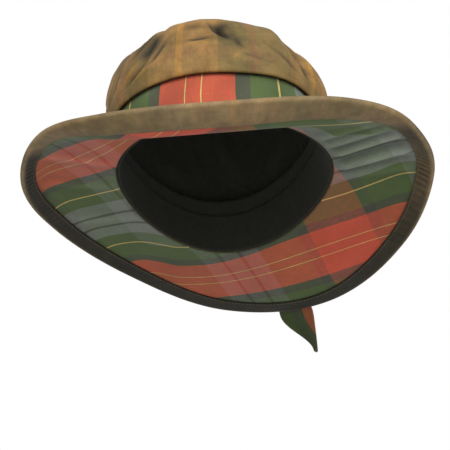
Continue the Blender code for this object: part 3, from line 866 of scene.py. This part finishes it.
def dark_cotton(name, colour, pitch):
    """Ribbed matt cotton: almost black, with fine ribs that catch a little light."""
    material, tree, shader = new_material(name, roughness=0.92, sheen=0.05, specular=0.2)
    place, across, _ = flat_place(tree)
    phase = add_node(tree, "Math", (across, 2 * pi / pitch), operation="MULTIPLY")
    ribs = add_node(tree, "Math", (phase,), operation="SINE")
    slub = add_node(tree, "TexNoise", {"Vector": place, "Scale": SLUBS, "Detail": 4.0})
    lit = add_node(tree, "Math", (ribs, 0.12), operation="MULTIPLY")
    uneven = add_node(tree, "Math", (slub, 0.9), operation="MULTIPLY")
    share = add_node(tree, "Math", (lit, uneven), operation="ADD")
    pale = [min(part * 2.1, 1) for part in colour[:3]] + [1]
    shade = add_node(tree, "Mix", {0: share, 6: colour, 7: pale}, **MIX)
    tree.links.new(shade, shader.inputs["Base Color"])
    relief = add_node(tree, "Math", (ribs, slub), operation="ADD")
    bump = add_node(tree, "Bump", {"Height": relief, "Strength": 0.4, "Distance": 0.0004})
    tree.links.new(bump, shader.inputs["Normal"])
    return material


def sewing_thread():
    """Twisted polyester sewing thread: a soft gloss with the dirt of use."""
    material, tree, shader = new_material("polyester_thread", roughness=0.6, specular=0.4)
    solid = add_node(tree, "TexCoord", output="Object")
    dirt = add_node(tree, "TexNoise", {"Vector": solid, "Scale": THREAD_DIRT, "Detail": 3.0})
    dull = [part * 0.45 for part in colours().thread[:3]] + [1]
    shade = add_node(tree, "Mix", {0: dirt, 6: dull, 7: colours().thread}, **MIX)
    tree.links.new(shade, shader.inputs["Base Color"])
    return material


class HAT_OT_crown(bpy.types.Operator):
    """Model the slouched, dented crown of waxed cotton"""

    bl_idname = "hat.crown"
    bl_label = "Crown"

    def execute(self, context):
        # Rows of faces are spread along the crown's profile, seen at one side
        fine = np.linspace(0, 1, 801)
        profile = crown_base(np.full(801, 90.0), crown_level(fine))
        run = np.concatenate([[0], np.cumsum(np.linalg.norm(np.diff(profile, axis=0), axis=1))])
        spacing = run + FOLD_ROWS * fine
        spacing = spacing / spacing[-1]

        def shape(turn, step):
            bearing = 180 + 360 * turn
            step = np.interp(step, spacing, fine)
            points, folded = crown_points(bearing, step)
            height = np.interp(step, fine, run)
            dome = crown_level(step)[:, 2]
            top = dome > TOP_SEAM

            # The check runs straight up the side, is gathered at the left and lies flat on the top
            off = off_bearing(bearing)
            gathered = (0.006 + 0.030 * dome) * smooth((-off - 20) / 30)
            leaned = lean(np.maximum(points[:, 2], 0)) * np.cos(np.radians(off))
            side = np.stack([np.radians(off) * HEAD_RADIUS - leaned - gathered, height], -1)
            plan = points[:, :2] + TOP_PANEL
            flat = np.where(top[:, None], plan, side)
            # Painted shade and highlight follow each fold's depth, over the waxed cloth's wear; painted
            # shadows darken the deepest folds, and a dark line runs along the seam
            soaked = pressed(FOLD_SHADOWS, bearing, dome) + (height < SEAM_STAIN)
            return points, flat, {"wear": -folded / SHADED_FOLD, "soaked": soaked}

        materials = [
            waxed_cotton("waxed_crown_canvas", (-38.3, 12)),
            dark_cotton("cotton_reverse", colours().reverse, 0.002),
        ]
        crown = cloth("waxed_crown", CROWN_GRID, shape, WAXED_CLOTH, materials)
        place(crown, "waxed_cotton", "crown")
        return {"FINISHED"}


class HAT_OT_brim(bpy.types.Operator):
    """Model the waxed top side of the brim"""

    bl_idname = "hat.brim"
    bl_label = "Brim"

    def execute(self, context):
        def shape(turn, step):
            bearing = 180 + 360 * turn
            points = brim_point(bearing, step, BRIM_FACE)
            rough = crumple(points, BRIM_CRUMPLE_SIZE, 11) * smooth(step * 4) * smooth((1 - step) * 4)
            points[:, 2] += BRIM_CRUMPLE * np.abs(rough)
            # The same crumple paints the cloth golden in places and dark in others, partly as wear and
            # partly as painted highlight and shade
            return points, flat_brim(bearing, step), {"wear": rough * 0.8}

        materials = [waxed_cotton("waxed_brim_canvas", (-39.5, 12))]
        brim = cloth("waxed_brim", BRIM_GRID, shape, WAXED_CLOTH, materials, flip=True)
        place(brim, "waxed_cotton", "brim")
        return {"FINISHED"}


def flat_brim(bearing, share):
    """Places on the brim's cloth when it is spread flat."""
    start = opening_point(bearing)
    flat = start + outwards(bearing) * (share * brim_width(bearing))[:, None]
    return flat[:, :2]


def draped(bearing, share):
    """How far the lining's gathered folds hang below the brim."""
    free = smooth(share / 0.12) * smooth((facing_start(bearing) + 0.02 - share) / 0.16)
    drop = np.zeros(bearing.shape)
    for drape in DRAPES:
        aside = off_bearing(bearing, drape.bearing + drape.turn * share)
        drop = drop + drape.drop * np.exp(-((aside / drape.width) ** 2))
    return drop * free


class HAT_OT_lining(bpy.types.Operator):
    """Model the tartan lining under the brim, with its gathered folds"""

    bl_idname = "hat.lining"
    bl_label = "Brim lining"

    def execute(self, context):
        def shape(turn, step):
            bearing = 180 + 360 * turn
            drop = draped(bearing, step)
            points = brim_point(bearing, step, LINING_FACE)
            points[:, 2] -= drop
            flat = flat_brim(bearing, step)

            # The tartan is turned, eased forwards in front, and eased aside and twisted at the left
            x, y = flat[:, 0], flat[:, 1]
            grain = radians(GRAIN_ANGLE)
            off = off_bearing(bearing, EASE_BEARING)
            along = x * sin(grain) + y * cos(grain) + EASE * np.exp(-((off / EASE_SPREAD) ** 2))
            across = x * cos(grain) - y * sin(grain) + LEFT_EASE * smooth(-x / 0.060 - 0.4)
            slope = LEFT_TURN + LEFT_TWIST * smooth(y / 0.1)
            along = along + smooth((-x - 0.04) / 0.05) * slope * (x + LEFT_MIDDLE)

            # Each drape is painted pale along its ridge as a highlight and dark at its two sides as
            # shade
            beside = draped(bearing + 4.5, step) + draped(bearing - 4.5, step)
            wear = drop / SHADED_DRAPE - beside / 0.0052
            return points, np.stack([along, across], -1), {"wear": wear}

        materials = [tartan_cotton("lining_tartan_cotton", start=102, cross_start=35, cross=0.30)]
        lining = cloth("brim_underside", LINING_GRID, shape, LINING_CLOTH, materials)
        place(lining, "tartan_lining", "brim_lining")
        return {"FINISHED"}


def facing_shape(bearing, step):
    """The facing from its inner edge under the brim, round the rim and back over the top side, as
    shares of the brim's width, heights over its middle and distances past its rim."""
    start = facing_start(bearing)
    lap = facing_lap(bearing)
    share = np.where(step < FOLD_BEGINS, start + (1 - start) * step / FOLD_BEGINS, 1.0)
    back = (step - FOLD_ENDS) / (1 - FOLD_ENDS)
    share = np.where(step > FOLD_ENDS, 1 + (lap - 1) * back, share)
    turn = np.clip((step - FOLD_BEGINS) / (FOLD_ENDS - FOLD_BEGINS), 0, 1) * pi
    radius = (FACING_TOP - FACING_FOOT) / 2
    lift = (FACING_TOP + FACING_FOOT) / 2 - radius * np.cos(turn)
    past = (GAP + radius * np.sin(turn)) * (turn > 0) * (turn < pi)
    past = past + GAP * (turn == 0) * (step >= FOLD_BEGINS)
    return share, lift, past


class HAT_OT_facing(bpy.types.Operator):
    """Model the waxed facing round the rim and its row of stitches"""

    bl_idname = "hat.facing"
    bl_label = "Rim facing"

    def execute(self, context):
        def shape(turn, step):
            bearing = 180 + 360 * turn
            share, lift, past = facing_shape(bearing, step)
            run = along_ellipse(bearing, sizes().brim_width)
            puckered = facing_puckers(bearing, run, step)
            points = brim_point(bearing, share, lift - puckered * (step < FOLD_BEGINS), past)
            width = np.interp(step, [0, FOLD_BEGINS, FOLD_ENDS, 1], [0, 0.016, 0.022, 0.030])
            stretched = run * 0.96

            # Old wax and painted shade darken the facing's underside from both sides to the back, but
            # not the rim's edge or the front lip, which are left lighter as lit, and less at the right,
            # partly rubbed and partly lit
            edge = np.exp(-(((step - 0.60) / 0.07) ** 2))
            off = off_bearing(bearing)
            front = smooth((60 - off) / 12) * smooth((off + 72) / 12)
            rubbed_and_lit = 0.4 * np.exp(-(((off - 84) / 26) ** 2))
            soaked = 0.10 + (1 - front) * (1 - edge) * (step < 0.72) * (0.90 - rubbed_and_lit)
            # The puckers are painted lighter on their ridges and darker between them as highlight and
            # shade, the rim's edge paler as a highlight, and the whole facing a little darker
            marks = {"wear": puckered / SHADED_PUCKER + edge * 0.3 - 0.25, "soaked": soaked}
            return points, np.stack([stretched, width], -1), marks

        materials = [waxed_cotton("waxed_facing_canvas", (48, 52), faint=0.28, bloom=0.45)]
        facing = cloth("rim_facing", FACING_GRID, shape, WAXED_CLOTH, materials)
        place(facing, "waxed_cotton", "brim_facing")
        self.sew()
        return {"FINISHED"}

    def sew(self):
        """One stitch is modelled and copied all round, just inside the facing's inner edge."""
        deselect()
        bpy.ops.mesh.primitive_uv_sphere_add(segments=6, ring_count=4, radius=0.5)
        stitch = bpy.context.object
        corners = np.array([v.co[:] for v in stitch.data.vertices])
        faces = [tuple(polygon.vertices) for polygon in stitch.data.polygons]
        bpy.data.objects.remove(stitch)
        rim = along_ellipse(np.array([360.0]), sizes().brim_width)[0]
        count = int(rim / (STITCH_LENGTH + STITCH_GAP))
        bearings = np.arange(count) * 360 / count
        inset = STITCH_INSET / brim_width(bearings)
        share = facing_start(bearings) + inset
        here = brim_point(bearings, share, FACING_FOOT)
        ahead = brim_point(bearings + 0.3, share, FACING_FOOT)
        along = ahead - brim_point(bearings - 0.3, share, FACING_FOOT)
        along = along / np.linalg.norm(along, axis=1, keepdims=True)
        out = here - brim_point(bearings, share, 0)
        out = out / np.linalg.norm(out, axis=1, keepdims=True)
        side = np.cross(along, out)
        points = (
            here[:, None]
            + along[:, None] * corners[None, :, :1] * STITCH_LENGTH
            + side[:, None] * corners[None, :, 1:2] * STITCH_WIDTH
            + out[:, None] * corners[None, :, 2:] * STITCH_WIDTH
        ).reshape(-1, 3)
        size = len(corners)
        rings = [tuple(i + k * size for i in face) for k in range(count) for face in faces]
        mesh = bpy.data.meshes.new("facing_stitches")
        mesh.from_pydata(points.tolist(), [], rings)
        stitches = bpy.data.objects.new("facing_stitches", mesh)
        bpy.context.scene.collection.objects.link(stitches)
        activate(stitches)
        bpy.ops.object.shade_smooth()
        bpy.ops.object.mode_set(mode="EDIT")
        bpy.ops.mesh.select_all(action="SELECT")
        bpy.ops.mesh.normals_make_consistent(inside=False)
        bpy.ops.object.mode_set(mode="OBJECT")
        mesh.materials.append(sewing_thread())
        place(stitches, "waxed_cotton")


def facing_puckers(bearing, run, step):
    """Small gathers of the facing where the rim bends most, at both sides."""
    turn = bearing % 360
    sides = np.exp(-(((turn - 88) / 24) ** 2)) + 0.8 * np.exp(-(((turn - 272) / 22) ** 2)) + 0.08
    waves = np.sin(run / 0.0013 + 2.2 * np.sin(run / 0.031)) * (0.6 + 0.4 * np.sin(run / 0.017))
    window = smooth(step / 0.12) * smooth((FOLD_BEGINS - step) / 0.1)
    return PUCKER * sides * waves * window


class HAT_OT_hat_band(bpy.types.Operator):
    """Model the tartan band round the crown's foot"""

    bl_idname = "hat.hat_band"
    bl_label = "Hat band"

    def execute(self, context):
        def shape(turn, step):
            bearing = 180 + 360 * turn
            band = BAND_FOOT + (BAND_TOP - BAND_FOOT) * step
            points = wall_point(bearing, band, GAP + BAND_CLOTH)
            rough = crumple(points * (1, 1, 0.6), BAND_CRUMPLE_SIZE, 23)
            lift = BAND_CRUMPLE * (rough + 1) * smooth(step * 5) * smooth((1 - step) * 5)
            points = points + outwards(bearing) * lift[:, None]

            # The band is cut a little aslant, so its stripes lean where it faces front
            slant = 0.11 * (points[:, 2] - 0.032) * np.cos(np.radians(bearing))
            run = along_ellipse(bearing - 360) * 0.835 - slant
            flat = np.stack([run, band * sizes().band_height], -1)
            # The crumples are painted lighter and darker as highlight and shade
            return points, flat, {"wear": rough * 0.5}

        materials = [tartan_cotton("band_tartan_cotton", start=-40.6, cross_start=60, cross=0.16)]
        hat_band = cloth("tartan_band", BAND_GRID, shape, BAND_CLOTH, materials)
        place(hat_band, "tartan_band", "hat_band")
        return {"FINISHED"}


class HAT_OT_sweatband(bpy.types.Operator):
    """Model the dark ribbed band inside the crown"""

    bl_idname = "hat.sweatband"
    bl_label = "Sweatband"

    def execute(self, context):
        def shape(turn, step):
            bearing = 180 + 360 * turn
            share = step * min(sizes().sweatband_height / sizes().band_height, 1)
            points = wall_point(bearing, share, -(WAXED_CLOTH + GAP + SWEATBAND_CLOTH))
            flat = np.stack([along_ellipse(bearing - 360), share * sizes().band_height], -1)
            return points, flat, {}

        materials = [dark_cotton("ribbed_cotton", colours().sweatband, 0.0022)]
        sweatband = cloth("ribbed_sweatband", BAND_GRID, shape, SWEATBAND_CLOTH, materials, flip=True)
        place(sweatband, "dark_cotton", "sweatband")
        return {"FINISHED"}


class HAT_OT_knot(bpy.types.Operator):
    """Model the wrap of cloth over the crossing of the tie"""

    bl_idname = "hat.knot"
    bl_label = "Knot"

    def execute(self, context):
        at = np.array([float(KNOT_BEARING)])
        foot, head = (
            Vector(wall_point(at, np.array([band]), BAND_CLOTH + KNOT_CLEARANCE)[0])
            for band in (KNOT_FOOT, KNOT_FOOT + KNOT_HEIGHT)
        )
        up = (head - foot).normalized()
        side = Vector(outwards(at)[0]).cross(up).normalized()
        out = up.cross(side)
        height = (head - foot).length
        deselect()
        bpy.ops.mesh.primitive_cube_add(size=1)
        knot = bpy.context.object
        knot.name = knot.data.name = "tie_knot"
        bpy.ops.object.mode_set(mode="EDIT")
        bpy.ops.mesh.select_all(action="SELECT")
        bpy.ops.mesh.subdivide(number_cuts=1)
        bpy.ops.object.mode_set(mode="OBJECT")
        apply_modifier(knot, "SUBSURF", levels=5, render_levels=5)
        layer = knot.data.uv_layers.new(name="cloth")
        pleat_shading = knot.data.attributes.new("wear", "FLOAT", "POINT")
        flat = []
        for vertex in knot.data.vertices:
            across, depth, rise = vertex.co * KNOT_PUFF

            # The cloth is pinched in at its middle, swells outwards and lies in pleats
            pinch = 1 - KNOT_PINCH * (1 - 2 * abs(across))
            swell = 1 + KNOT_SWELL * (1 - 2 * abs(rise)) * (1 - 2 * abs(across))
            pleat = KNOT_PLEAT * sin(across * 26 + 3 * rise) * (depth + 0.5) * (1 - 1.6 * abs(rise))
            depth = max(min(depth, 0.5), -0.5)
            # The pleats are painted lighter and darker as highlight and shade
            pleat_shading.data[vertex.index].value = max(min(pleat * 22, 1), -1)
            flat.append((across * sizes().knot_width, rise * height))
            vertex.co = (
                (foot + head) / 2
                + side * across * sizes().knot_width * 0.86
                + out * ((depth + 0.5) * swell + pleat) * sizes().knot_depth
                + up * rise * height * pinch * 0.9
            )
        for loop in knot.data.loops:
            layer.data[loop.index].uv = flat[loop.vertex_index]
        activate(knot)
        bpy.ops.object.shade_smooth()
        dyed = tartan_cotton("knot_tartan_cotton", start=-12, cross_start=30, cross=0.2)
        knot.data.materials.append(dyed)
        place(knot, "tartan_band", "band_knot")
        return {"FINISHED"}


def tail_points(tail, length, across, along):
    """The tail lies on the brim and, where it is longer than the brim is wide, hangs over the rim."""
    width = sizes().tail_width
    full = width * (TAIL_GATHER + (1 - TAIL_GATHER) * smooth(along / FULL_WIDTH_AT))
    narrow = full * (1 - (1 - POINT_WIDTH) * smooth((along - POINT_START) / (1 - POINT_START)))
    offset = (across - 0.5) * narrow + tail.side * (full - narrow) / 2
    reach = TAIL_START * sizes().brim_width + along * length
    rim = float(brim_width(tail.rim_bearing))
    share = np.minimum(reach / rim, 1)
    half_head = sizes().head_length / 2
    beside = (TAIL_GATHER * width / 2 + TAIL_CLEARANCE) / half_head
    start = KNOT_BEARING + tail.side * np.degrees(beside)
    middle = start + (tail.rim_bearing - start) * smooth(share)
    bearing = middle + np.degrees(offset / (half_head + share * sizes().brim_width))
    on_facing = smooth((share - facing_lap(bearing)) / STEP_RUN + 1)
    rest = BRIM_FACE + TAIL_CLEARANCE + on_facing * (GAP + WAXED_CLOTH)
    at_knot = np.maximum(KNOT_FOOT * sizes().band_height - 2 * TAIL_CLOTH, rest)
    lift = at_knot + (rest - at_knot) * smooth(share / TAIL_TOUCHDOWN)
    pleats = TAIL_PLEAT * np.sin(across * 6 * pi) * (1 - smooth(along / 0.55))
    waves = TAIL_WAVE * (1 + np.sin(across * 5 + along * 9)) * smooth(along * 4)
    points = brim_point(bearing, share, lift + np.abs(pleats) + waves)

    # Past the rim it turns down, in short steps
    slope = brim_slope(bearing, 1.0)
    part = np.maximum(reach - rim, 0) / DROP_STEPS
    for i in range(DROP_STEPS):
        turned = smooth((i + 0.5) * part / (2 * TAIL_BEND))
        angle = slope + (radians(TAIL_DROP_SLOPE) - slope) * turned
        points = points + outwards(bearing) * (part * np.cos(angle))[:, None]
        points[:, 2] += part * np.sin(angle)
    flat = np.stack([(across - 0.5) * narrow, along * length], -1)
    # The pleats and waves are painted lighter and darker as highlight and shade, and the whole tail
    # darker as shade
    return points, flat, {"wear": pleats * 500 + waves * 300 - 0.6}, narrow


class HAT_OT_tails(bpy.types.Operator):
    """Model the two tails of the tie"""

    bl_idname = "hat.tails"
    bl_label = "Tie tails"

    def execute(self, context):
        for tail in TAILS:
            length = getattr(sizes(), tail.length)
            narrow = tail_points(tail, length, np.full(201, 0.5), np.linspace(0, 1, 201))[3]

            def shape(across, along):
                return tail_points(tail, length, across, along)[:3]

            dyed = tartan_cotton(tail.name + "_tartan_cotton", tail.start, cross_start=40, cross=0.5)
            piece = cloth(tail.name, TAIL_GRID, shape, -TAIL_CLOTH, [dyed], flip=True)
            place(piece, "tartan_band", tail.node)
        return {"FINISHED"}


class HAT_OT_stage(bpy.types.Operator):
    """Set up the plain studio: floor, soft lights and camera"""

    bl_idname = "hat.stage"
    bl_label = "Studio"

    def execute(self, context):
        deselect()
        bpy.ops.mesh.primitive_plane_add(size=16, location=(0, 0, -0.72))
        floor = bpy.context.object
        floor.name = "studio_floor"
        material, tree, shader = new_material("painted_floor", roughness=0.9)
        solid = add_node(tree, "TexCoord", output="Object")
        grain = add_node(tree, "TexNoise", {"Vector": solid, "Scale": 3.0, "Detail": 2.0})
        dull = [part * 0.97 for part in colours().floor[:3]] + [1]
        shade = add_node(tree, "Mix", {0: grain, 6: dull, 7: colours().floor}, **MIX)
        tree.links.new(shade, shader.inputs["Base Color"])
        floor.data.materials.append(material)
        self.light("key_light", (-0.8, -1.7, 0.8), 1.4, 29)
        self.light("fill_light", (1.4, -1.5, 0.6), 1.4, 26)
        self.light("low_light", (0.2, -1.5, -0.6), 1.2, 3)
        self.backdrop()
        self.camera()
        context.scene.view_settings.view_transform = "Standard"
        return {"FINISHED"}

    def light(self, name, position, size, power):
        """A soft square light that faces the hat."""
        deselect()
        bpy.ops.object.light_add(type="AREA", location=position)
        lamp = bpy.context.object
        lamp.name = name
        lamp.data.shape = "SQUARE"
        lamp.data.size = size
        lamp.data.energy = power
        lamp.rotation_euler = (-Vector(position)).to_track_quat("-Z", "Y").to_euler()

    def backdrop(self):
        """White behind the hat, and a weaker pale light all round."""
        world = bpy.data.worlds.new("studio")
        bpy.context.scene.world = world
        world.use_nodes = True
        tree = world.node_tree
        seen = add_node(tree, "LightPath", output="Is Camera Ray")
        strength = add_node(tree, "MapRange", (seen, 0.0, 1.0, 0.42, 1.0))
        tree.links.new(strength, tree.nodes["Background"].inputs["Strength"])
        tree.nodes["Background"].inputs["Color"].default_value = (1, 1, 1, 1)

    def camera(self):
        """The camera looks up at the hat from in front and below, turned a little clockwise."""
        elevation = radians(28)
        roll = radians(1.1)
        distance = 1.1
        forward = Vector((0, cos(elevation), sin(elevation)))
        up = Vector((0, -sin(elevation), cos(elevation)))
        position = -distance * forward
        target = Vector((-0.0007, 0, 0)) - 0.0415 * up
        forward = (target - position).normalized()
        side = forward.cross(up).normalized()
        up = side.cross(forward)
        side, up = side * cos(roll) - up * sin(roll), side * sin(roll) + up * cos(roll)
        bpy.ops.object.camera_add(location=position)
        camera = bpy.context.object
        camera.name = "studio_camera"
        turn = Matrix((side, up, -forward)).transposed().to_4x4()
        camera.matrix_world = Matrix.Translation(position) @ turn
        camera.data.lens = 105.8
        camera.data.sensor_width = 36
        bpy.context.scene.camera = camera


OPERATORS = (
    HAT_OT_stage,
    HAT_OT_crown,
    HAT_OT_brim,
    HAT_OT_lining,
    HAT_OT_facing,
    HAT_OT_hat_band,
    HAT_OT_sweatband,
    HAT_OT_knot,
    HAT_OT_tails,
)


class HAT_PT_panel(bpy.types.Panel):
    """The hat's sizes, colours and pieces"""

    bl_idname = "HAT_PT_panel"
    bl_label = "Waxed Hat"
    bl_space_type = "VIEW_3D"
    bl_region_type = "UI"
    bl_category = "Waxed Hat"

    def draw(self, context):
        for group in (context.scene.hat_sizes, context.scene.hat_colours):
            box = self.layout.box()
            for name in group.__annotations__:
                box.prop(group, name)
        for operator in OPERATORS:
            self.layout.operator(operator.bl_idname)


CLASSES = (HatSizes, HatColours, *OPERATORS, HAT_PT_panel)


def register():
    for cls in CLASSES:
        bpy.utils.register_class(cls)
    bpy.types.Scene.hat_sizes = PointerProperty(type=HatSizes)
    bpy.types.Scene.hat_colours = PointerProperty(type=HatColours)


def unregister():
    del bpy.types.Scene.hat_colours
    del bpy.types.Scene.hat_sizes
    for cls in reversed(CLASSES):
        bpy.utils.unregister_class(cls)


def main():
    register()
    for operator in OPERATORS:
        group, name = operator.bl_idname.split(".")
        getattr(getattr(bpy.ops, group), name)()
    deselect()


if __name__ == "__main__":
    main()
